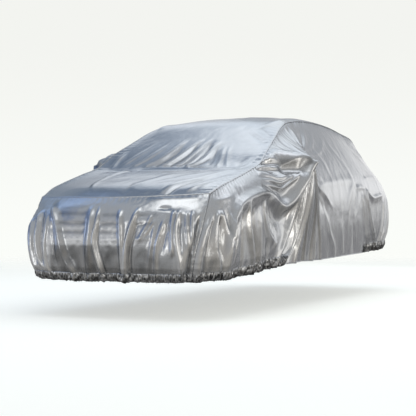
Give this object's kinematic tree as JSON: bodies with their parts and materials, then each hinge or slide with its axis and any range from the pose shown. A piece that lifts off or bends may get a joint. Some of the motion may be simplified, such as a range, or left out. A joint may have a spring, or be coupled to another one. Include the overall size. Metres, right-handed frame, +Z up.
{
  "type": "car cover",
  "caption": "Fitted car cover of thin silver cloth, draped over a mid-size SUV, with tents at the door mirrors, swagged side folds and a gathered elastic hem.",
  "frame": {"origin": "underside of the cloth on the roof's centre line, where the roof of the car carries it", "axes": "+Z up, -Y towards the front of the covered car, +X towards the car's left side; the ground under the car lies 1.748 m below the origin"},
  "size_m": [2.1916, 4.823, 1.479],
  "materials": {
    "top_panel": "silver satin film on thin woven cloth",
    "front_panel": "silver satin film on thin woven cloth",
    "left_side_panel": "silver satin film on thin woven cloth",
    "right_side_panel": "silver satin film on thin woven cloth",
    "rear_panel": "silver satin film on thin woven cloth"
  },
  "bodies": {
    "root": {"top_panel": "top_panel", "front_panel": "front_panel", "left_side_panel": "left_side_panel", "right_side_panel": "right_side_panel", "rear_panel": "rear_panel"}
  },
  "joints": []
}
